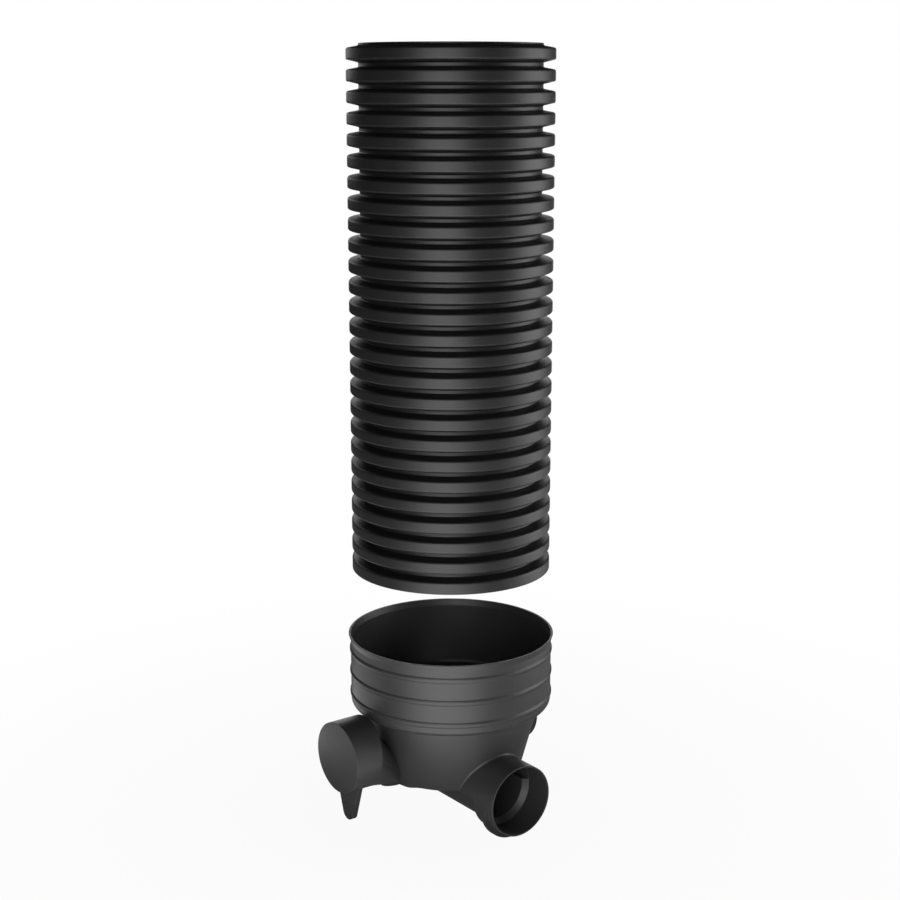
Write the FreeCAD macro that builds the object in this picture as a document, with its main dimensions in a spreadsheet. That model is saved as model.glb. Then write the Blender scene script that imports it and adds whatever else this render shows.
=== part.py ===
import FreeCAD, Part
import math
import os
import Sketcher

# Drain inspection chamber: a moulded base, and the corrugated riser pipe that goes into its socket.
# The origin is on the chamber's axis, at the level of the feet. The main channel runs along X,
# with the outlet at +X, and the closed side inlet points along -Y. All sizes are in millimetres.

doc = FreeCAD.newDocument("inspection_chamber")
sheet = doc.addObject("Spreadsheet::Sheet", "Size")

sizes = [
    # The moulding's wall, the same all over the base.
    ("wall", 2.8),
    # The socket for the riser: its outside, its rim lip, its lead-in and the beads round it.
    ("rim_height", 298.0),
    ("socket_outer_radius", 162.2),
    ("lip_radius", 165.4),
    ("lip_height", 10.0),
    ("lead_in_depth", 10.0),
    ("lead_in_width", 2.6),
    ("socket_straight", 108.0),
    ("bead_drop", 25.0),
    ("bead_pitch", 36.5),
    ("bead_count", 3),
    ("bead_half_height", 4.7),
    ("bead_proud", 1.8),
    # The rounded edge of the ledge that the riser stands on, and the cone from it to the floor.
    ("shoulder_radius", 10.0),
    ("cone_bottom_radius", 115.0),
    ("cone_angle", 15.0),
    ("floor_height", 70.4),
    # The main channel and the pipe socket at each end of it.
    ("channel_axis_height", 67.0),
    ("channel_bore_radius", 46.7),
    ("roof_outer_radius", 57.4),
    ("roof_seam_radius", 3.0),
    ("pipe_bore_radius", 55.3),
    ("pipe_socket_wall", 2.3),
    ("pipe_socket_depth", 46.0),
    ("pipe_stop_length", 8.0),
    ("mouth_reach", 182.0),
    # The closed side inlet, the chute from it to the cone's foot, and the boss opposite it.
    ("side_axis_height", 135.0),
    ("side_outer_radius", 56.5),
    ("side_reach", 224.6),
    ("side_crown", 2.5),
    ("chute_reach", 175.0),
    ("chute_end_reach", 105.0),
    ("chute_end_height", 78.8),
    ("chute_end_radius", 16.1),
    ("boss_outer_radius", 54.0),
    ("boss_reach", 140.0),
    # The foot under each pipe socket, and the leg under the side inlet.
    ("foot_radius", 57.0),
    ("foot_thickness", 9.0),
    ("foot_setback", 20.0),
    ("leg_tip_height", 26.0),
    ("leg_tip_radius", 14.0),
    ("leg_top_half_width", 30.0),
    ("leg_setback", 20.5),
    ("leg_thickness", 9.0),
    # The riser: one corrugated wall, lifted clear of the rim as it waits to be fitted.
    ("riser_lift", 111.9),
    ("rib_count", 26),
    ("rib_pitch", 31.48),
    ("rib_radius", 157.5),
    ("rib_crest_width", 15.7),
    ("bottom_crest_width", 17.0),
    ("valley_radius", 138.9),
    ("valley_width", 7.3),
    ("riser_wall", 3.6),
    ("top_lip_height", 4.0),
]
for row, (alias, value) in enumerate(sizes, start=1):
    sheet.set("A%d" % row, alias)
    sheet.set("B%d" % row, str(value))
    sheet.setAlias("B%d" % row, alias)
doc.recompute()

# Levels and radii that several features share, each worked out from the sheet.
socket_bore = "(Size.socket_outer_radius - Size.wall)"
shoulder_start = "(Size.rim_height - Size.socket_straight)"
shoulder_centre = "(Size.socket_outer_radius - Size.shoulder_radius)"
floor_top = "(Size.floor_height + Size.wall)"
bell_outer = "(Size.pipe_bore_radius + Size.pipe_socket_wall)"
socket_end = "(Size.mouth_reach - Size.pipe_socket_depth)"
stop_end = "(Size.mouth_reach - Size.pipe_socket_depth - Size.pipe_stop_length)"
bell_start = "(Size.mouth_reach - Size.pipe_socket_depth - Size.wall / 3)"
back_start = "(Size.mouth_reach - Size.pipe_socket_depth - Size.wall / 3 - Size.pipe_stop_length)"
bead_roundness = "((Size.bead_half_height^2 + Size.bead_proud^2) / (2 * Size.bead_proud))"
crown_radius = "((Size.side_outer_radius^2 + Size.side_crown^2) / (2 * Size.side_crown))"
chute_run = "(Size.chute_reach - Size.chute_end_reach)"
chute_roof_fall = ("((Size.side_axis_height + Size.side_outer_radius - Size.chute_end_height"
                   " - Size.chute_end_radius) / " + chute_run + ")")
chute_bed_fall = ("((Size.side_axis_height - Size.side_outer_radius - Size.chute_end_height"
                  " + Size.chute_end_radius) / " + chute_run + ")")
chute_roof_wall = "(Size.wall * sqrt(1 + " + chute_roof_fall + "^2))"
chute_bed_wall = "(Size.wall * sqrt(1 + " + chute_bed_fall + "^2))"
past_all = "(Size.side_reach + Size.rim_height)"

UP = FreeCAD.Rotation()
ALONG_X = FreeCAD.Rotation(FreeCAD.Vector(0, 1, 0), 90)
ALONG_MINUS_X = FreeCAD.Rotation(FreeCAD.Vector(0, 1, 0), -90)
ALONG_MINUS_Y = FreeCAD.Rotation(FreeCAD.Vector(1, 0, 0), 90)
ALONG_Y = FreeCAD.Rotation(FreeCAD.Vector(1, 0, 0), -90)
UPRIGHT = FreeCAD.Rotation(FreeCAD.Vector(1, 0, 0), 90)


def measure(expression):
    """The value of an expression on the sheet's cells."""
    return float(sheet.evalExpression(expression))


def add(kind, name, turned=UP, at=("0", "0", "0"), **bindings):
    """A feature, turned and placed at three expressions, with its properties bound to the sheet."""
    item = doc.addObject(kind, name)
    item.Placement = FreeCAD.Placement(FreeCAD.Vector(), turned)
    for axis, expression in zip("xyz", at):
        if expression != "0":
            item.setExpression("Placement.Base." + axis, expression)
    for property_name, expression in bindings.items():
        item.setExpression(property_name, expression)
    return item


def fuse(name, *items):
    item = doc.addObject("Part::MultiFuse", name)
    item.Shapes = list(items)
    return item


def cut(name, base, tool):
    item = doc.addObject("Part::Cut", name)
    item.Base = base
    item.Tool = tool
    return item


def common(name, *items):
    item = doc.addObject("Part::MultiCommon", name)
    item.Shapes = list(items)
    return item


def hold(sketch, edge, end, across, up):
    """Hold one end of an edge at the expressions across and up from the sketch's origin."""
    for kind, axis, expression in (("DistanceX", -2, across), ("DistanceY", -1, up)):
        if expression is None:
            continue
        value = measure(expression)
        if abs(value) < 1e-9:
            sketch.addConstraint(Sketcher.Constraint("PointOnObject", edge, end, axis))
        else:
            index = sketch.addConstraint(Sketcher.Constraint(kind, -1, 1, edge, end, value))
            sketch.setExpression("Constraints[%d]" % index, expression)


def outline(sketch, corners, arc=None):
    """A closed outline through corners given as (across, up) expressions. Where arc is given, as
    (first corner, centre across, centre up), the side from that corner is an arc about the centre
    and ends straight below it."""
    spots = [FreeCAD.Vector(measure(across), measure(up), 0) for across, up in corners]
    for index, spot in enumerate(spots):
        following = spots[(index + 1) % len(spots)]
        if arc and index == arc[0]:
            centre = FreeCAD.Vector(measure(arc[1]), measure(arc[2]), 0)
            radius = (spot - centre).Length
            middle = centre + ((spot - centre) + (following - centre)).normalize() * radius
            sketch.addGeometry(Part.Arc(spot, middle, following), False)
            arc_edge = index
        else:
            sketch.addGeometry(Part.LineSegment(spot, following), False)
    for index, (across, up) in enumerate(corners):
        after = (index + 1) % len(corners)
        if arc and index == arc[0]:
            sketch.addConstraint(Sketcher.Constraint("Coincident", index, 1, after, 1))
            hold(sketch, index, 2, across, up)
            hold(sketch, index, 3, arc[1], arc[2])
        elif arc and index == arc[0] + 1:
            sketch.addConstraint(Sketcher.Constraint("Coincident", index, 2, after, end_of(arc, after)))
            hold(sketch, index, 1, across, None)
        else:
            sketch.addConstraint(Sketcher.Constraint("Coincident", index, 2, after, end_of(arc, after)))
            hold(sketch, index, 1, across, up)


def end_of(arc, edge):
    """An arc drawn clockwise is stored the other way round, so its second end meets the side before."""
    return 2 if arc and edge == arc[0] else 1


def turned_section(name, corners, arc=None):
    """A solid of revolution about the chamber's axis, from an outline in the XZ plane."""
    sketch = doc.addObject("Sketcher::SketchObject", name + "_section")
    sketch.Placement = FreeCAD.Placement(FreeCAD.Vector(), UPRIGHT)
    outline(sketch, corners, arc)
    solid = doc.addObject("Part::Revolution", name)
    solid.Source = sketch
    solid.Axis = FreeCAD.Vector(0, 0, 1)
    solid.Angle = 360
    solid.Solid = True
    return solid


# The cup that takes the riser: a straight wall with a flared lip at its rim, turned in at the foot
# to a narrow ledge.
cup_outer = turned_section("cup_outer", [
    ("0", "Size.rim_height"),
    ("Size.lip_radius", "Size.rim_height"),
    ("Size.socket_outer_radius", "Size.rim_height - Size.lip_height"),
    ("Size.socket_outer_radius", shoulder_start),
    (shoulder_centre, shoulder_start + " - Size.shoulder_radius"),
    ("0", shoulder_start + " - Size.shoulder_radius"),
], arc=(3, shoulder_centre, shoulder_start))
cup_inner = turned_section("cup_inner", [
    ("0", "Size.rim_height"),
    (socket_bore + " + Size.lead_in_width", "Size.rim_height"),
    (socket_bore, "Size.rim_height - Size.lead_in_depth"),
    (socket_bore, shoulder_start),
    (shoulder_centre, shoulder_start + " - Size.shoulder_radius + Size.wall"),
    ("0", shoulder_start + " - Size.shoulder_radius + Size.wall"),
], arc=(3, shoulder_centre, shoulder_start))

# Half-round beads stiffen the straight wall.
beads = []
for number in range(int(measure("Size.bead_count"))):
    beads.append(add(
        "Part::Torus", "bead_%d" % (number + 1),
        at=("0", "0", "Size.rim_height - Size.bead_drop - %d * Size.bead_pitch" % number),
        Radius1="Size.socket_outer_radius + Size.bead_proud - " + bead_roundness,
        Radius2=bead_roundness))

# The cone under the ledge, down to the flat floor.
cone_outer = add(
    "Part::Cone", "cone_outer", at=("0", "0", "Size.floor_height"),
    Radius1="Size.cone_bottom_radius",
    Radius2="Size.cone_bottom_radius + (" + shoulder_start + " - Size.floor_height) * tan(Size.cone_angle)",
    Height=shoulder_start + " - Size.floor_height")
cone_inner_bottom = "(Size.cone_bottom_radius + Size.wall * tan(Size.cone_angle) - Size.wall / cos(Size.cone_angle))"
cone_inner = add(
    "Part::Cone", "cone_inner", at=("0", "0", floor_top),
    Radius1=cone_inner_bottom,
    Radius2=cone_inner_bottom + " + (" + shoulder_start + " - " + floor_top + ") * tan(Size.cone_angle)",
    Height=shoulder_start + " - " + floor_top)

# The side inlet: a closed round stub with a slightly crowned end.
side_at = ("0", "0", "Size.side_axis_height")
stub_at = ("0", "-Size.chute_reach", "Size.side_axis_height")
stub_tube = add("Part::Cylinder", "stub_tube", ALONG_MINUS_Y, stub_at,
                Radius="Size.side_outer_radius", Height="Size.side_reach + Size.wall - Size.chute_reach")
stub_crown = add("Part::Sphere", "stub_crown",
                 at=("0", crown_radius + " - Size.side_reach", "Size.side_axis_height"), Radius=crown_radius)
stub_outer = common("stub_outer", stub_tube, stub_crown)
stub_inner = add("Part::Cylinder", "stub_inner", ALONG_MINUS_Y, stub_at,
                 Radius="Size.side_outer_radius - Size.wall",
                 Height="Size.side_reach - Size.side_crown - Size.wall - Size.chute_reach")


def chute(name, rim, foot):
    """A round passage that narrows as it falls, each end given as (reach, height, radius)."""
    rings = []
    for end, (reach, height, radius) in (("rim", rim), ("foot", foot)):
        rings.append(add("Part::Circle", name + "_" + end, ALONG_MINUS_Y, ("0", "-" + reach, height),
                         Radius=radius))
    solid = doc.addObject("Part::Loft", name)
    solid.Sections = rings
    solid.Solid = True
    solid.Ruled = True
    return solid


# Behind the stub a chute falls to the foot of the cone. Its hollow is set in by the wall's
# thickness, square to the steep roof and to the bed.
chute_inset = "(" + chute_roof_wall + " + " + chute_bed_wall + ") / 2"
chute_drop = "(" + chute_roof_wall + " - " + chute_bed_wall + ") / 2"
chute_outer = chute("chute_outer", ("Size.chute_reach", "Size.side_axis_height", "Size.side_outer_radius"),
                    ("Size.chute_end_reach", "Size.chute_end_height", "Size.chute_end_radius"))
chute_inner = chute(
    "chute_inner",
    ("Size.chute_reach", "Size.side_axis_height - " + chute_drop, "Size.side_outer_radius - " + chute_inset),
    ("Size.chute_end_reach", "Size.chute_end_height - " + chute_drop, "Size.chute_end_radius - " + chute_inset))

# The cone and the chute end flat at the floor, which is as thick as the wall.
floor_block = add("Part::Box", "floor_block",
                  at=("-" + past_all, "-" + past_all, "Size.floor_height - " + past_all),
                  Length="2 * " + past_all, Width="2 * " + past_all, Height=past_all)
below_floor_top = add("Part::Box", "below_floor_top",
                      at=("-" + past_all, "-" + past_all, floor_top + " - " + past_all),
                      Length="2 * " + past_all, Width="2 * " + past_all, Height=past_all)
chute_hollow = cut("chute_hollow", chute_inner, below_floor_top)

# A short closed boss opposite the side inlet, where a second one can be opened.
boss_outer = add("Part::Cylinder", "boss_outer", ALONG_Y, side_at,
                 Radius="Size.boss_outer_radius", Height="Size.boss_reach")
boss_inner = add("Part::Cylinder", "boss_inner", ALONG_Y, side_at,
                 Radius="Size.boss_outer_radius - Size.wall", Height="Size.boss_reach - Size.wall")

# The main channel: a half-pipe under the floor, with a roofed passage above it at each end.
channel_at = ("-" + socket_end, "0", "Size.channel_axis_height")
channel_outer = add("Part::Cylinder", "channel_outer", ALONG_X, channel_at,
                    Radius="Size.channel_bore_radius + Size.wall", Height="2 * " + socket_end)
channel_bore = add("Part::Cylinder", "channel_bore", ALONG_X, channel_at,
                   Radius="Size.channel_bore_radius", Height="2 * " + socket_end)
roof_at = ("-" + bell_start, "0", "Size.channel_axis_height")
roof_outer_tube = add("Part::Cylinder", "roof_outer_tube", ALONG_X, roof_at,
                      Radius="Size.roof_outer_radius", Height="2 * " + bell_start)
above_floor = cut("above_floor", fuse("tapers", cone_outer, chute_outer, roof_outer_tube), floor_block)
roof_inner_tube = add("Part::Cylinder", "roof_inner_tube", ALONG_X, channel_at,
                      Radius="Size.roof_outer_radius - Size.wall", Height="2 * " + socket_end)
roof_inner = cut("roof_inner", roof_inner_tube, below_floor_top)


def on_roof_seam(spot):
    """Whether a spot lies both on the cone and on the channel's roof."""
    rise = spot.z - measure("Size.floor_height")
    cone_radius = measure("Size.cone_bottom_radius") + rise * math.tan(math.radians(measure("Size.cone_angle")))
    from_channel = math.hypot(spot.y, spot.z - measure("Size.channel_axis_height"))
    return (abs(math.hypot(spot.x, spot.y) - cone_radius) < 0.01
            and abs(from_channel - measure("Size.roof_outer_radius")) < 0.01)


# A small radius softens the seam where the channel's roof comes out of the cone.
doc.recompute()
seam_radius = measure("Size.roof_seam_radius")
seams = []
for number, edge in enumerate(above_floor.Shape.Edges, start=1):
    if on_roof_seam(edge.valueAt((edge.FirstParameter + edge.LastParameter) / 2)):
        seams.append((number, seam_radius, seam_radius))
tapers_outer = doc.addObject("Part::Fillet", "tapers_outer")
tapers_outer.Base = above_floor
tapers_outer.Edges = seams


def pipe_end(name, side):
    """The solids added and taken away for the pipe socket at one end of the channel."""
    outward = ALONG_X if side > 0 else ALONG_MINUS_X
    sign = "" if side > 0 else "-"
    axis_height = "Size.channel_axis_height"
    bell = add("Part::Cylinder", name + "_bell", outward, (sign + bell_start, "0", axis_height),
               Radius=bell_outer, Height="Size.mouth_reach - " + bell_start)
    back = add("Part::Cone", name + "_back", outward, (sign + back_start, "0", axis_height),
               Radius1="Size.channel_bore_radius + Size.wall", Radius2=bell_outer,
               Height="Size.pipe_stop_length")
    bore = add("Part::Cylinder", name + "_bore", outward, (sign + socket_end, "0", axis_height),
               Radius="Size.pipe_bore_radius", Height="Size.pipe_socket_depth")
    stop = add("Part::Cone", name + "_stop", outward, (sign + stop_end, "0", axis_height),
               Radius1="Size.channel_bore_radius", Radius2="Size.pipe_bore_radius",
               Height="Size.pipe_stop_length")
    foot_at = sign + "(Size.mouth_reach - Size.foot_setback - Size.foot_thickness)"
    foot = add("Part::Cylinder", name + "_foot", outward, (foot_at, "0", "Size.foot_radius"),
               Radius="Size.foot_radius", Height="Size.foot_thickness")
    return [bell, back, foot], [bore, stop]


outlet_added, outlet_taken = pipe_end("outlet", 1)
inlet_added, inlet_taken = pipe_end("inlet", -1)

# The leg under the side inlet: a blade that narrows to a round tip.
leg_front = "(Size.side_reach - Size.leg_setback)"
tip_centre = "(Size.leg_tip_height + Size.leg_tip_radius)"
leg_rise = ("(Size.side_axis_height - " + tip_centre + " - sqrt((Size.side_outer_radius - Size.wall / 2)^2"
            " - Size.leg_top_half_width^2))")
leg_lean = ("(atan2(" + leg_rise + "; Size.leg_top_half_width) - acos(Size.leg_tip_radius / sqrt("
            + leg_rise + "^2 + Size.leg_top_half_width^2)))")
tangent_across = "Size.leg_tip_radius * cos(" + leg_lean + ")"
tangent_up = tip_centre + " + Size.leg_tip_radius * sin(" + leg_lean + ")"
leg_sketch = add("Sketcher::SketchObject", "leg_section", UPRIGHT,
                 ("0", "Size.leg_thickness - " + leg_front, "0"))
outline(leg_sketch, [
    ("-Size.leg_top_half_width", tip_centre + " + " + leg_rise),
    ("Size.leg_top_half_width", tip_centre + " + " + leg_rise),
    (tangent_across, tangent_up),
    ("-" + tangent_across, tangent_up),
])
leg_blade = add("Part::Extrusion", "leg_blade", LengthFwd="Size.leg_thickness")
leg_blade.Base = leg_sketch
leg_blade.DirMode = "Normal"
leg_blade.Solid = True
leg_tip = add("Part::Cylinder", "leg_tip", ALONG_MINUS_Y,
              ("0", "Size.leg_thickness - " + leg_front, tip_centre),
              Radius="Size.leg_tip_radius", Height="Size.leg_thickness")

# The base is everything added, less everything hollow.
base_outer = fuse("base_outer", cup_outer, tapers_outer, stub_outer, boss_outer, channel_outer,
                  leg_blade, leg_tip, *(beads + outlet_added + inlet_added))
base_hollow = fuse("base_hollow", cup_inner, cone_inner, stub_inner, chute_hollow, boss_inner,
                   channel_bore, roof_inner, *(outlet_taken + inlet_taken))
chamber_base = cut("chamber_base", base_outer, base_hollow)

# The riser: a tube at the valley radius, with hollow ribs outside it and matching grooves inside.
riser = doc.addObject("PartDesign::Body", "riser_pipe")
riser.setExpression("Placement.Base.z", "Size.rim_height + Size.riser_lift")
doc.recompute()
planes = {plane.Role: plane for plane in riser.Origin.OriginFeatures}
riser_bore = "(Size.valley_radius - Size.riser_wall)"
flank = "((Size.rib_pitch - Size.rib_crest_width - Size.valley_width) / 2)"
rib_depth = "(Size.rib_radius - Size.valley_radius)"
flank_length = "sqrt(" + flank + "^2 + " + rib_depth + "^2)"
groove_inset = "(Size.riser_wall * (" + flank_length + " - " + flank + ") / " + rib_depth + ")"
first_rib = "(Size.bottom_crest_width - Size.rib_crest_width + Size.rib_pitch)"
riser_length = ("(Size.bottom_crest_width + (Size.rib_count - 1) * Size.rib_pitch + " + flank
                + " + Size.top_lip_height)")


def riser_sketch(name):
    sketch = riser.newObject("Sketcher::SketchObject", name)
    sketch.AttachmentSupport = [(planes["XZ_Plane"], "")]
    sketch.MapMode = "FlatFace"
    return sketch


def turned(kind, name, sketch):
    feature = riser.newObject(kind, name)
    feature.Profile = sketch
    feature.ReferenceAxis = (sketch, ["V_Axis"])
    feature.Angle = 360
    doc.recompute()
    return feature


def repeated(name, feature, sketch):
    """The rest of the ribs or grooves, one pitch apart."""
    pattern = riser.newObject("PartDesign::LinearPattern", name)
    pattern.Originals = [feature]
    pattern.Direction = (sketch, ["V_Axis"])
    pattern.setExpression("Length", "(Size.rib_count - 2) * Size.rib_pitch")
    pattern.setExpression("Occurrences", "Size.rib_count - 1")
    riser.Tip = pattern
    doc.recompute()
    return pattern


tube_sketch = riser_sketch("tube_section")
outline(tube_sketch, [
    (riser_bore, "0"),
    ("Size.valley_radius", "0"),
    ("Size.valley_radius", riser_length),
    (riser_bore, riser_length),
])
tube = turned("PartDesign::Revolution", "tube", tube_sketch)

bottom_sketch = riser_sketch("bottom_rib_section")
outline(bottom_sketch, [
    (riser_bore, "0"),
    ("Size.rib_radius", "0"),
    ("Size.rib_radius", "Size.bottom_crest_width"),
    ("Size.valley_radius", "Size.bottom_crest_width + " + flank),
    (riser_bore, "Size.bottom_crest_width + " + flank),
])
bottom_rib = turned("PartDesign::Revolution", "bottom_rib", bottom_sketch)

rib_sketch = riser_sketch("rib_section")
outline(rib_sketch, [
    (riser_bore, first_rib + " - " + flank),
    ("Size.valley_radius", first_rib + " - " + flank),
    ("Size.rib_radius", first_rib),
    ("Size.rib_radius", first_rib + " + Size.rib_crest_width"),
    ("Size.valley_radius", first_rib + " + Size.rib_crest_width + " + flank),
    (riser_bore, first_rib + " + Size.rib_crest_width + " + flank),
])
rib = turned("PartDesign::Revolution", "rib", rib_sketch)
ribs = repeated("ribs", rib, rib_sketch)

bottom_groove_sketch = riser_sketch("bottom_groove_section")
outline(bottom_groove_sketch, [
    (riser_bore + " - Size.riser_wall", "-Size.riser_wall"),
    ("Size.rib_radius - Size.riser_wall", "-Size.riser_wall"),
    ("Size.rib_radius - Size.riser_wall", "Size.bottom_crest_width - " + groove_inset),
    (riser_bore, "Size.bottom_crest_width + " + flank + " - " + groove_inset),
    (riser_bore + " - Size.riser_wall", "Size.bottom_crest_width + " + flank + " - " + groove_inset),
])
bottom_groove = turned("PartDesign::Groove", "bottom_groove", bottom_groove_sketch)

groove_sketch = riser_sketch("groove_section")
outline(groove_sketch, [
    (riser_bore + " - Size.riser_wall", first_rib + " - " + flank + " + " + groove_inset),
    (riser_bore, first_rib + " - " + flank + " + " + groove_inset),
    ("Size.rib_radius - Size.riser_wall", first_rib + " + " + groove_inset),
    ("Size.rib_radius - Size.riser_wall", first_rib + " + Size.rib_crest_width - " + groove_inset),
    (riser_bore, first_rib + " + Size.rib_crest_width + " + flank + " - " + groove_inset),
    (riser_bore + " - Size.riser_wall", first_rib + " + Size.rib_crest_width + " + flank + " - " + groove_inset),
])
groove = turned("PartDesign::Groove", "groove", groove_sketch)
grooves = repeated("grooves", groove, groove_sketch)
doc.recompute()

for item in doc.Objects:
    if "Invalid" in item.State or "Error" in item.State:
        raise RuntimeError("%s did not build: %s" % (item.Label, item.State))

os.makedirs("parts", exist_ok=True)
for item in (chamber_base, riser):
    if item.Shape.isNull() or not item.Shape.isValid():
        raise RuntimeError("%s has no valid shape" % item.Label)
    print(item.Label, len(item.Shape.Solids), "solid, volume", round(item.Shape.Volume / 1000), "cm3")
    item.Shape.exportStep("parts/%s.step" % item.Label)
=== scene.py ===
import math

import bpy
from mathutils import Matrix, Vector


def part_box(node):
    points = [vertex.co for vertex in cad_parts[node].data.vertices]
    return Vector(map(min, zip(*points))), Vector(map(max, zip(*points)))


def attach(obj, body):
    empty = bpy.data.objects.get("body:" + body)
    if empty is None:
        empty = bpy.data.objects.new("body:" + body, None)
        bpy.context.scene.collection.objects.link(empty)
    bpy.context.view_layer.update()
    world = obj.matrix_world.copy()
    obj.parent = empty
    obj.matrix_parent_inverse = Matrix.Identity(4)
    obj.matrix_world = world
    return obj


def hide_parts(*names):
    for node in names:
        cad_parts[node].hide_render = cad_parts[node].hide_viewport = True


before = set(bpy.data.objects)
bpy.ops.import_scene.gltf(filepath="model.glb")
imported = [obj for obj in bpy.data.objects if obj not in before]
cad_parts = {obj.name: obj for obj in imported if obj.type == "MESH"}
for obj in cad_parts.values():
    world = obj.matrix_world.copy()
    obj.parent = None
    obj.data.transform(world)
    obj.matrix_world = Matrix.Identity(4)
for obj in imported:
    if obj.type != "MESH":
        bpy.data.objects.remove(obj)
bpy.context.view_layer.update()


# The chamber's base: one thin-walled moulding in black polypropylene. Its cup takes the riser, its
# channel ends in two pipe sockets, and the stub on its side is moulded shut. The mould leaves every
# outside edge slightly rounded.
def plastic_surface():
    """A node group for black plastic: a faint mottle in colour and gloss, a fine grain, mould or die
    lines round the axis, and slightly rounded edges whose colour is lighter, partly as wear and partly as
    a painted highlight."""
    group = bpy.data.node_groups.new("plastic_surface", "ShaderNodeTree")
    sockets = group.interface
    for name, kind in (
        ("Pigment", "NodeSocketColor"),
        ("Bloom", "NodeSocketColor"),
        ("Rubbed edge", "NodeSocketColor"),
        ("Mottle size", "NodeSocketFloat"),
        ("Grain size", "NodeSocketFloat"),
        ("Line size", "NodeSocketFloat"),
        ("Line share", "NodeSocketFloat"),
        ("Gloss low", "NodeSocketFloat"),
        ("Gloss high", "NodeSocketFloat"),
    ):
        sockets.new_socket(name, in_out="INPUT", socket_type=kind)
    sockets.new_socket("Color", in_out="OUTPUT", socket_type="NodeSocketColor")
    sockets.new_socket("Roughness", in_out="OUTPUT", socket_type="NodeSocketFloat")
    sockets.new_socket("Relief", in_out="OUTPUT", socket_type="NodeSocketFloat")
    sockets.new_socket("Rounded normal", in_out="OUTPUT", socket_type="NodeSocketVector")
    nodes = group.nodes
    links = group.links
    given = nodes.new("NodeGroupInput")
    result = nodes.new("NodeGroupOutput")
    place = nodes.new("ShaderNodeTexCoord")

    mottle = nodes.new("ShaderNodeTexNoise")
    mottle.inputs["Detail"].default_value = 5.0
    mottle.inputs["Roughness"].default_value = 0.6
    links.new(place.outputs["Object"], mottle.inputs["Vector"])
    links.new(given.outputs["Mottle size"], mottle.inputs["Scale"])

    rounded_edge = nodes.new("ShaderNodeBevel")
    rounded_edge.samples = 6
    rounded_edge.inputs["Radius"].default_value = 0.001
    facing = nodes.new("ShaderNodeNewGeometry")
    turned_away = nodes.new("ShaderNodeVectorMath")
    turned_away.operation = "DOT_PRODUCT"
    links.new(rounded_edge.outputs["Normal"], turned_away.inputs[0])
    links.new(facing.outputs["Normal"], turned_away.inputs[1])
    edge = nodes.new("ShaderNodeMapRange")
    edge.inputs["From Min"].default_value = 0.99
    edge.inputs["From Max"].default_value = 0.75
    links.new(turned_away.outputs["Value"], edge.inputs["Value"])
    links.new(rounded_edge.outputs["Normal"], result.inputs["Rounded normal"])

    # The edge mask, broken up by the mottle, lightens the colour along edges: partly wear, partly a
    # painted highlight.
    wear_and_highlight_mask = nodes.new("ShaderNodeMath")
    wear_and_highlight_mask.operation = "MULTIPLY"
    links.new(edge.outputs["Result"], wear_and_highlight_mask.inputs[0])
    links.new(mottle.outputs["Fac"], wear_and_highlight_mask.inputs[1])

    tint = nodes.new("ShaderNodeMix")
    tint.data_type = "RGBA"
    links.new(mottle.outputs["Fac"], tint.inputs["Factor"])
    links.new(given.outputs["Pigment"], tint.inputs["A"])
    links.new(given.outputs["Bloom"], tint.inputs["B"])
    edge_wear_and_highlight = nodes.new("ShaderNodeMix")
    edge_wear_and_highlight.data_type = "RGBA"
    links.new(wear_and_highlight_mask.outputs["Value"], edge_wear_and_highlight.inputs["Factor"])
    links.new(tint.outputs["Result"], edge_wear_and_highlight.inputs["A"])
    links.new(given.outputs["Rubbed edge"], edge_wear_and_highlight.inputs["B"])
    links.new(edge_wear_and_highlight.outputs["Result"], result.inputs["Color"])

    gloss = nodes.new("ShaderNodeMapRange")
    gloss.inputs["From Min"].default_value = 0.3
    gloss.inputs["From Max"].default_value = 0.7
    links.new(mottle.outputs["Fac"], gloss.inputs["Value"])
    links.new(given.outputs["Gloss low"], gloss.inputs["To Min"])
    links.new(given.outputs["Gloss high"], gloss.inputs["To Max"])
    links.new(gloss.outputs["Result"], result.inputs["Roughness"])

    grain = nodes.new("ShaderNodeTexNoise")
    grain.inputs["Detail"].default_value = 3.0
    links.new(place.outputs["Object"], grain.inputs["Vector"])
    links.new(given.outputs["Grain size"], grain.inputs["Scale"])

    # The tool leaves its lines round the axis, so they change with height and hardly along the ring.
    squeeze = nodes.new("ShaderNodeVectorMath")
    squeeze.operation = "MULTIPLY"
    squeeze.inputs[1].default_value = (0.02, 0.02, 1.0)
    links.new(place.outputs["Object"], squeeze.inputs[0])
    tool_lines = nodes.new("ShaderNodeTexNoise")
    tool_lines.inputs["Detail"].default_value = 2.0
    links.new(squeeze.outputs["Vector"], tool_lines.inputs["Vector"])
    links.new(given.outputs["Line size"], tool_lines.inputs["Scale"])
    relief = nodes.new("ShaderNodeMath")
    relief.operation = "MULTIPLY_ADD"
    links.new(tool_lines.outputs["Fac"], relief.inputs[0])
    links.new(given.outputs["Line share"], relief.inputs[1])
    links.new(grain.outputs["Fac"], relief.inputs[2])
    links.new(relief.outputs["Value"], result.inputs["Relief"])
    return group


def black_plastic(name, surface, relief_depth, **settings):
    """Black plastic in the given surface, as a material of its own. Sizes are in cycles per metre."""
    material = bpy.data.materials.new(name)
    material.use_nodes = True
    nodes = material.node_tree.nodes
    links = material.node_tree.links
    shader = nodes["Principled BSDF"]
    finish = nodes.new("ShaderNodeGroup")
    finish.node_tree = surface
    for setting, value in settings.items():
        finish.inputs[setting.replace("_", " ").capitalize()].default_value = value
    links.new(finish.outputs["Color"], shader.inputs["Base Color"])
    links.new(finish.outputs["Roughness"], shader.inputs["Roughness"])
    bump = nodes.new("ShaderNodeBump")
    bump.inputs["Strength"].default_value = 0.3
    bump.inputs["Distance"].default_value = relief_depth
    links.new(finish.outputs["Relief"], bump.inputs["Height"])
    links.new(finish.outputs["Rounded normal"], bump.inputs["Normal"])
    links.new(bump.outputs["Normal"], shader.inputs["Normal"])
    return material


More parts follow.
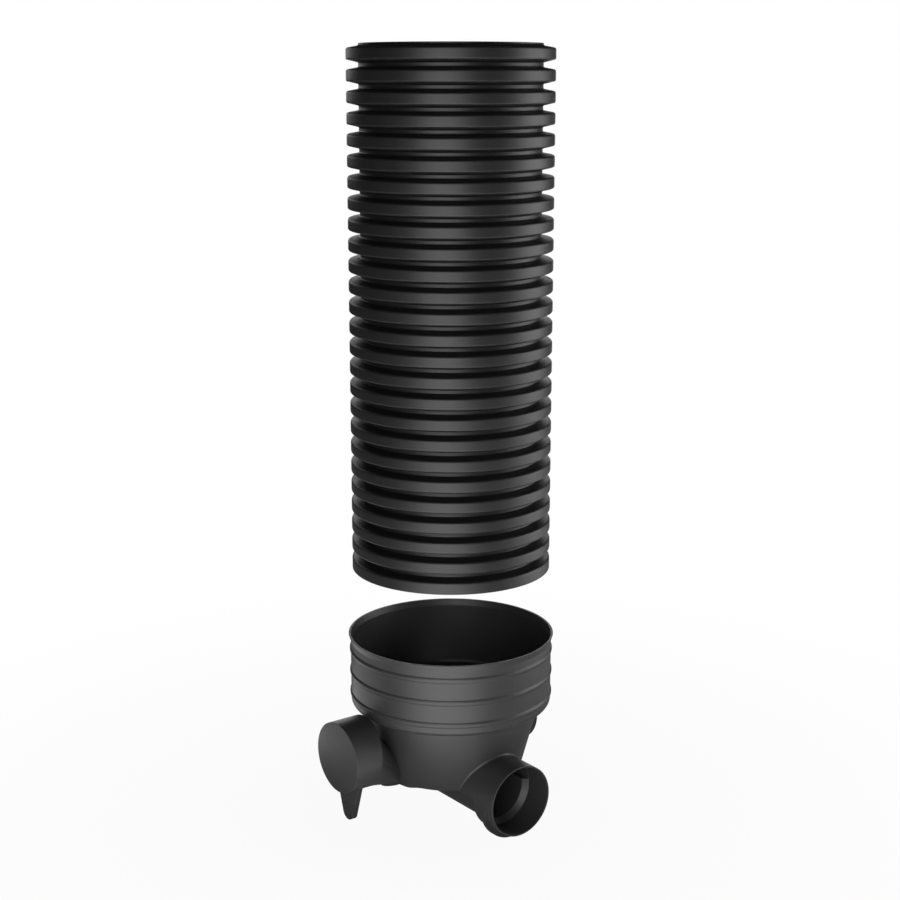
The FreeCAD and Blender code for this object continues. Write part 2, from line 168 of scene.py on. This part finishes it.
surface = plastic_surface()
# The lighter edge colour is partly rubbed wear and partly a painted highlight along the edges.
moulded_black = black_plastic(
    "moulded_black", surface, relief_depth=0.00005,
    pigment=(0.026, 0.026, 0.0264, 1.0), bloom=(0.036, 0.036, 0.0364, 1.0),
    rubbed_edge=(0.075, 0.075, 0.076, 1.0), mottle_size=14.0, grain_size=1400.0,
    line_size=300.0, line_share=0.15, gloss_low=0.41, gloss_high=0.48)


def welded_copy(name, node, material):
    """A closed mesh from a node's loose faces: corners in one place share a point, and each corner
    keeps the direction that its own surface has there."""
    micrometres = 1e6
    loose = node.data
    directions = [tuple(corner.vector) for corner in loose.corner_normals]
    shared = {}
    index_of = []
    for vertex in loose.vertices:
        place = tuple(round(value * micrometres) for value in vertex.co)
        index_of.append(shared.setdefault(place, len(shared)))
    faces = []
    kept = []
    for face in loose.polygons:
        corners = [index_of[index] for index in face.vertices]
        if len(set(corners)) == len(corners):
            faces.append(corners)
            kept.extend(directions[index] for index in face.loop_indices)
    points = [tuple(value / micrometres for value in place) for place in shared]
    mesh = bpy.data.meshes.new(name)
    mesh.from_pydata(points, [], faces)
    mesh.shade_smooth()
    mesh.normals_split_custom_set(kept)
    mesh.materials.append(material)
    piece = bpy.data.objects.new(name, mesh)
    bpy.context.scene.collection.objects.link(piece)
    return piece


moulding = welded_copy("base_moulding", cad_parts["chamber_base"], moulded_black)

# The joint between the stub and the chute behind it leans, its top towards the cup. The solid has it
# upright, so the points of that ring are moved.
flat_slack = 0.00001
round_slack = 0.00005
joint_reach = 0.1765
joint_lean = math.tan(math.radians(8.0))
side_axis_height = 0.135
side_radius = 0.0565
upright_joint = 0.175
for vertex in moulding.data.vertices:
    from_axis = math.hypot(vertex.co.x, vertex.co.z - side_axis_height)
    in_joint = abs(vertex.co.y + upright_joint) < flat_slack
    if in_joint and abs(from_axis - side_radius) < round_slack:
        vertex.co.y = joint_lean * (vertex.co.z - side_axis_height) - joint_reach

# Under the chute the floor bows down a little, and rises again along the cone's foot on both sides.
floor_height = 0.0704
floor_edge_radius = 0.1145
chute_bow = 0.0045
full_bow_angle = math.radians(17.0)
no_bow_angle = math.radians(27.0)
for vertex in moulding.data.vertices:
    in_floor = abs(vertex.co.z - floor_height) < flat_slack
    on_edge = math.hypot(vertex.co.x, vertex.co.y) > floor_edge_radius
    if in_floor and on_edge and vertex.co.y < 0:
        from_chute = abs(math.atan2(vertex.co.x, -vertex.co.y))
        share = (no_bow_angle - from_chute) / (no_bow_angle - full_bow_angle)
        vertex.co.z -= chute_bow * min(1.0, max(0.0, share))

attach(moulding, "base")
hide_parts("chamber_base")


# The riser: a corrugated pipe in black polypropylene with one wall, extruded and pressed into ribs
# on moving mould blocks, then sawn square in a rib at the bottom and in a valley at the top.
rib_pitch = 0.03148
rib_count = 26
rib_crest = 0.0157
bottom_crest = 0.017
valley_width = 0.0073
riser_wall = 0.0036
crest_radius = 0.1575
valley_radius = 0.1389
crest_round = 0.0028
valley_round = 0.0018
cut_round = 0.0004
rib_depth = crest_radius - valley_radius
flank = (rib_pitch - rib_crest - valley_width) / 2
# A rib's upper edge is rounder than its lower one and stands a little higher, and so does its foot.
upper_round = 0.0036
upper_rise = 0.0013
foot_rise = 0.0007
riser_low, riser_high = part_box("riser_pipe")
riser_bottom = riser_low.z
riser_top = riser_high.z


def rounded(corners, steps):
    """The points of an open line whose corners, given as (radius, height, rounding), are rounded."""
    points = []
    for index, (across, up, rounding) in enumerate(corners):
        here = Vector((across, up))
        if rounding == 0:
            points.append(here)
            continue
        before = (Vector(corners[index - 1][:2]) - here).normalized()
        after = (Vector(corners[index + 1][:2]) - here).normalized()
        half = before.angle(after) / 2
        centre = here + (before + after).normalized() * (rounding / math.sin(half))
        first = here + before * (rounding / math.tan(half)) - centre
        last = here + after * (rounding / math.tan(half)) - centre
        turn = first.angle_signed(last)
        for step in range(steps + 1):
            angle = -turn * step / steps
            points.append(centre + Vector((
                first.x * math.cos(angle) - first.y * math.sin(angle),
                first.x * math.sin(angle) + first.y * math.cos(angle))))
    return points


def section_line(name, lines):
    """A flat curve, out from the valley's radius as X and down as Y, with one spline for each line."""
    curve = bpy.data.curves.new(name, "CURVE")
    curve.dimensions = "3D"
    for points in lines:
        spline = curve.splines.new("POLY")
        spline.points.add(len(points) - 1)
        for point, place in zip(spline.points, points):
            point.co = (place.x - valley_radius, -place.y, 0.0, 1.0)
    return bpy.data.objects.new(name, curve)


inner_inset = riser_wall * (math.hypot(flank, rib_depth) - flank) / rib_depth
bore_radius = valley_radius - riser_wall
groove_radius = crest_radius - riser_wall
half_valley = valley_width / 2
lower_flank = half_valley + flank
upper_flank = lower_flank + rib_crest

rib_line = section_line("rib_section", [
    rounded([
        (valley_radius, 0.0, 0),
        (valley_radius, half_valley, valley_round),
        (crest_radius, lower_flank, crest_round),
        (crest_radius, upper_flank + upper_rise, upper_round),
        (valley_radius, upper_flank + flank + foot_rise, valley_round),
        (valley_radius, rib_pitch, 0),
    ], steps=3),
    rounded([
        (bore_radius, rib_pitch, 0),
        (bore_radius, upper_flank + flank - inner_inset, crest_round),
        (groove_radius, upper_flank - inner_inset, valley_round),
        (groove_radius, lower_flank + inner_inset, valley_round),
        (bore_radius, half_valley + inner_inset, crest_round),
        (bore_radius, 0.0, 0),
    ], steps=1),
])
bottom_line = section_line("bottom_section", [
    rounded([
        (bore_radius, bottom_crest + flank + half_valley, 0),
        (bore_radius, bottom_crest + flank - inner_inset, crest_round),
        (groove_radius, bottom_crest - inner_inset, valley_round),
        (groove_radius, 0.0, cut_round),
        (crest_radius, 0.0, cut_round),
        (crest_radius, bottom_crest + upper_rise, upper_round),
        (valley_radius, bottom_crest + flank + foot_rise, valley_round),
        (valley_radius, bottom_crest + flank + half_valley, 0),
    ], steps=3),
])
first_rib = bottom_crest + flank + half_valley
top_cut = riser_top - riser_bottom - (first_rib + (rib_count - 1) * rib_pitch)
top_round = min(cut_round, 0.9 * top_cut)
top_line = section_line("top_section", [
    rounded([
        (valley_radius, 0.0, 0),
        (valley_radius, top_cut, top_round),
        (bore_radius, top_cut, top_round),
        (bore_radius, 0.0, 0),
    ], steps=2),
])


def corrugated_pipe():
    """A geometry tree that turns three sections about Z and repeats the middle one up the pipe."""
    tree = bpy.data.node_groups.new("corrugated_pipe", "GeometryNodeTree")
    for name, kind in (
        ("Bottom section", "NodeSocketObject"),
        ("Rib section", "NodeSocketObject"),
        ("Top section", "NodeSocketObject"),
        ("Ring radius", "NodeSocketFloat"),
        ("Facets round", "NodeSocketInt"),
        ("Ribs", "NodeSocketInt"),
        ("Pitch", "NodeSocketFloat"),
        ("Bottom height", "NodeSocketFloat"),
        ("First rib height", "NodeSocketFloat"),
        ("Material", "NodeSocketMaterial"),
    ):
        tree.interface.new_socket(name, in_out="INPUT", socket_type=kind)
    tree.interface.new_socket("Geometry", in_out="OUTPUT", socket_type="NodeSocketGeometry")
    nodes = tree.nodes
    links = tree.links
    given = nodes.new("NodeGroupInput")
    result = nodes.new("NodeGroupOutput")
    joined = nodes.new("GeometryNodeJoinGeometry")

    ring = nodes.new("GeometryNodeCurvePrimitiveCircle")
    ring.mode = "RADIUS"
    links.new(given.outputs["Ring radius"], ring.inputs["Radius"])
    links.new(given.outputs["Facets round"], ring.inputs["Resolution"])

    def turned(section):
        """One section, read as a mesh line, turned about Z: each ring point takes a copy of it."""
        source = nodes.new("GeometryNodeObjectInfo")
        links.new(given.outputs[section], source.inputs["Object"])
        swept = nodes.new("GeometryNodeCurveToMesh")
        links.new(ring.outputs["Curve"], swept.inputs["Curve"])
        links.new(source.outputs["Geometry"], swept.inputs["Profile Curve"])
        return swept.outputs["Mesh"]

    def raised(mesh, height):
        """A mesh, moved up by a height."""
        lift = nodes.new("ShaderNodeCombineXYZ")
        links.new(height, lift.inputs["Z"])
        move = nodes.new("GeometryNodeTransform")
        links.new(mesh, move.inputs["Geometry"])
        links.new(lift.outputs["Vector"], move.inputs["Translation"])
        return move.outputs["Geometry"]

    links.new(raised(turned("Bottom section"), given.outputs["Bottom height"]), joined.inputs["Geometry"])

    start = nodes.new("ShaderNodeCombineXYZ")
    links.new(given.outputs["First rib height"], start.inputs["Z"])
    step = nodes.new("ShaderNodeCombineXYZ")
    links.new(given.outputs["Pitch"], step.inputs["Z"])
    ladder = nodes.new("GeometryNodeMeshLine")
    links.new(given.outputs["Ribs"], ladder.inputs["Count"])
    links.new(start.outputs["Vector"], ladder.inputs["Start Location"])
    links.new(step.outputs["Vector"], ladder.inputs["Offset"])
    ribs = nodes.new("GeometryNodeInstanceOnPoints")
    links.new(ladder.outputs["Mesh"], ribs.inputs["Points"])
    links.new(turned("Rib section"), ribs.inputs["Instance"])
    links.new(ribs.outputs["Instances"], joined.inputs["Geometry"])

    rib_stack = nodes.new("ShaderNodeMath")
    rib_stack.operation = "MULTIPLY_ADD"
    links.new(given.outputs["Ribs"], rib_stack.inputs[0])
    links.new(given.outputs["Pitch"], rib_stack.inputs[1])
    links.new(given.outputs["First rib height"], rib_stack.inputs[2])
    links.new(raised(turned("Top section"), rib_stack.outputs["Value"]), joined.inputs["Geometry"])

    real = nodes.new("GeometryNodeRealizeInstances")
    links.new(joined.outputs["Geometry"], real.inputs["Geometry"])
    welded = nodes.new("GeometryNodeMergeByDistance")
    welded.inputs["Distance"].default_value = 0.00001
    links.new(real.outputs["Geometry"], welded.inputs["Geometry"])
    outward = nodes.new("GeometryNodeFlipFaces")
    links.new(welded.outputs["Geometry"], outward.inputs["Mesh"])
    smooth = nodes.new("GeometryNodeSetShadeSmooth")
    links.new(outward.outputs["Mesh"], smooth.inputs["Geometry"])
    painted = nodes.new("GeometryNodeSetMaterial")
    links.new(smooth.outputs["Geometry"], painted.inputs["Geometry"])
    links.new(given.outputs["Material"], painted.inputs["Material"])
    links.new(painted.outputs["Geometry"], result.inputs["Geometry"])
    return tree


# The lighter edge colour is partly rubbed wear and partly a painted highlight along the rib edges.
corrugated_black = black_plastic(
    "corrugated_black", surface, relief_depth=0.00005,
    pigment=(0.008, 0.008, 0.0082, 1.0), bloom=(0.012, 0.012, 0.0122, 1.0),
    rubbed_edge=(0.03, 0.03, 0.0305, 1.0), mottle_size=9.0, grain_size=900.0,
    line_size=420.0, line_share=0.5, gloss_low=0.42, gloss_high=0.48)

pipe_tree = corrugated_pipe()
maker = bpy.data.objects.new("pipe_maker", bpy.data.meshes.new("pipe_maker"))
bpy.context.scene.collection.objects.link(maker)
making = maker.modifiers.new("corrugated_pipe", "NODES")
making.node_group = pipe_tree
pipe_inputs = {
    "Bottom section": bottom_line,
    "Rib section": rib_line,
    "Top section": top_line,
    "Ring radius": valley_radius,
    "Facets round": 144,
    "Ribs": rib_count - 1,
    "Pitch": rib_pitch,
    "Bottom height": riser_bottom,
    "First rib height": riser_bottom + first_rib,
    "Material": corrugated_black,
}
for item in pipe_tree.interface.items_tree:
    if item.in_out == "INPUT":
        making[item.identifier] = pipe_inputs[item.name]
bpy.context.view_layer.update()
pipe_mesh = bpy.data.meshes.new_from_object(maker.evaluated_get(bpy.context.evaluated_depsgraph_get()))
bpy.data.objects.remove(maker)
pipe_mesh.name = "corrugated_riser"
riser = bpy.data.objects.new("corrugated_riser", pipe_mesh)
bpy.context.scene.collection.objects.link(riser)
riser_shading = riser.modifiers.new("flat_faces_first", "WEIGHTED_NORMAL")
riser_shading.weight = 100
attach(riser, "riser")
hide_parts("riser_pipe")


# The studio: a pale floor without an edge, soft boxes in front, at the right and behind, cards on the
# floor that throw light up, and a white surround. The floor keeps a faint shadow near the object.
floor_mesh = bpy.data.meshes.new("floor")
reach = 30.0
floor_mesh.from_pydata(
    [(-reach, -reach, 0), (reach, -reach, 0), (reach, reach, 0), (-reach, reach, 0)], [], [(0, 1, 2, 3)])
floor = bpy.data.objects.new("floor", floor_mesh)
bpy.context.scene.collection.objects.link(floor)
pale = bpy.data.materials.new("pale_floor")
pale.use_nodes = True
floor_nodes = pale.node_tree.nodes
floor_nodes.clear()
floor_links = pale.node_tree.links
matt = floor_nodes.new("ShaderNodeBsdfDiffuse")
matt.inputs["Color"].default_value = (0.8, 0.8, 0.8, 1)
white = floor_nodes.new("ShaderNodeEmission")
spot = floor_nodes.new("ShaderNodeTexCoord")
away = floor_nodes.new("ShaderNodeVectorMath")
away.operation = "LENGTH"
floor_links.new(spot.outputs["Object"], away.inputs[0])
whiter_outward = floor_nodes.new("ShaderNodeMapRange")
whiter_outward.inputs["From Min"].default_value = 0.2
whiter_outward.inputs["From Max"].default_value = 1.2
whiter_outward.inputs["To Min"].default_value = 0.94
whiter_outward.inputs["To Max"].default_value = 1.0
floor_links.new(away.outputs["Value"], whiter_outward.inputs["Value"])
seen = floor_nodes.new("ShaderNodeLightPath")
share = floor_nodes.new("ShaderNodeMath")
share.operation = "MULTIPLY"
floor_links.new(seen.outputs["Is Camera Ray"], share.inputs[0])
floor_links.new(whiter_outward.outputs["Result"], share.inputs[1])
blend = floor_nodes.new("ShaderNodeMixShader")
out = floor_nodes.new("ShaderNodeOutputMaterial")
floor_links.new(share.outputs["Value"], blend.inputs["Fac"])
floor_links.new(matt.outputs["BSDF"], blend.inputs[1])
floor_links.new(white.outputs["Emission"], blend.inputs[2])
floor_links.new(blend.outputs["Shader"], out.inputs["Surface"])
floor_mesh.materials.append(pale)

world = bpy.data.worlds.new("studio")
bpy.context.scene.world = world
world.use_nodes = True
sky = world.node_tree.nodes
sky_links = world.node_tree.links
background = sky["Background"]
seen_sky = sky.new("ShaderNodeLightPath")
level = sky.new("ShaderNodeMix")
level.data_type = "FLOAT"
level.inputs["A"].default_value = 0.024
level.inputs["B"].default_value = 1.0
sky_links.new(seen_sky.outputs["Is Camera Ray"], level.inputs["Factor"])
sky_links.new(level.outputs["Result"], background.inputs["Strength"])
background.inputs["Color"].default_value = (1, 1, 1, 1)

camera_turn = math.radians(53.0)
camera_side = camera_turn - math.radians(90)
box_distance = 3.0
card_height = 0.004


def studio_lamp(name, width, tall, power):
    """A rectangular lamp that the camera doesn't see."""
    lamp = bpy.data.lights.new(name, "AREA")
    lamp.shape = "RECTANGLE"
    lamp.size = width
    lamp.size_y = tall
    lamp.energy = power
    holder = bpy.data.objects.new(name, lamp)
    holder.visible_camera = False
    bpy.context.scene.collection.objects.link(holder)
    return holder


def around(turn, distance, height):
    """A place round the axis, at an angle from the camera's side, to its right."""
    angle = camera_side + math.radians(turn)
    return Vector((distance * math.cos(angle), distance * math.sin(angle), height))


def soft_box(name, turn, height, width, tall, power):
    """An upright lamp that faces the axis."""
    holder = studio_lamp(name, width, tall, power)
    holder.location = around(turn, box_distance, height)
    facing = around(turn, -1.0, 0.0)
    holder.rotation_euler = facing.to_track_quat("-Z", "Y").to_euler()


def floor_card(name, turn, distance, width, depth, power):
    """A lamp that lies on the floor and faces up, as a reflecting card does."""
    holder = studio_lamp(name, depth, width, power)
    holder.location = around(turn, distance, card_height)
    holder.rotation_euler = (math.pi, 0.0, camera_side + math.radians(turn))


soft_box("front_box", turn=-9, height=0.9, width=2.3, tall=1.8, power=47)
soft_box("right_box", turn=99, height=0.98, width=2.2, tall=1.95, power=44)
soft_box("back_box", turn=178, height=0.8, width=2.0, tall=1.6, power=17)
soft_box("left_back_box", turn=-148, height=1.5, width=1.6, tall=0.9, power=6)
floor_card("front_card", turn=-8, distance=1.4, width=1.5, depth=1.5, power=21)
floor_card("near_card", turn=-5, distance=0.42, width=0.5, depth=0.3, power=1.3)
floor_card("left_card", turn=-106, distance=0.6, width=0.6, depth=0.3, power=0.9)
floor_card("right_card", turn=95, distance=1.6, width=1.6, depth=1.2, power=10)

view = bpy.data.cameras.new("view")
view.lens = 64.76
view.sensor_width = 36.0
camera = bpy.data.objects.new("view", view)
camera.location = (1.9894, -1.5008, 1.17685)
camera.rotation_euler = (math.radians(76.934), 0.0, camera_turn)
bpy.context.scene.collection.objects.link(camera)
bpy.context.scene.camera = camera
bpy.context.scene.view_settings.view_transform = "Standard"
